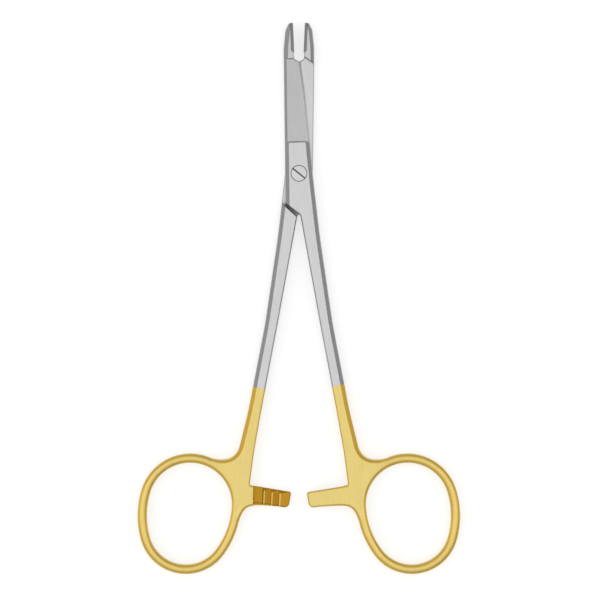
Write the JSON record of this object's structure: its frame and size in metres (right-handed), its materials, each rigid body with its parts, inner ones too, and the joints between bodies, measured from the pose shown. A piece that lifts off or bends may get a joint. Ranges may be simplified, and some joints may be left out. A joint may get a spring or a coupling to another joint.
{
  "type": "surgical needle holder",
  "caption": "Ring-handled needle holder with scissor blades behind carbide-lined jaws, a lap joint on a slotted screw and a toothed ratchet lock.",
  "frame": {"origin": "on the pivot's axis, in the plane of the joint's underside", "axes": "+Y along the instrument towards the jaws, +Z out of the joint's front, +X to the right seen from the front"},
  "size_m": [0.0964, 0.1647, 0.0054],
  "materials": {
    "satin_steel": "fine satin, with the lower shanks, ratchet arms and rings gold-plated",
    "carbide": "dark grey, matt, with a crossed serration",
    "screw_steel": "satin, ground flush with the joint"
  },
  "bodies": {
    "lower": {"lower_half": "satin_steel", "lower_jaw_insert": "carbide", "pivot_screw": "screw_steel"},
    "upper": {"upper_half": "satin_steel", "upper_jaw_insert": "carbide"}
  },
  "joints": [
    {"name": "pivot", "type": "hinge", "parent": "lower", "child": "upper", "pos_m": [0, 0, 0], "axis": [0, 0, 1], "range_deg": [-4.4, 55.6]}
  ]
}
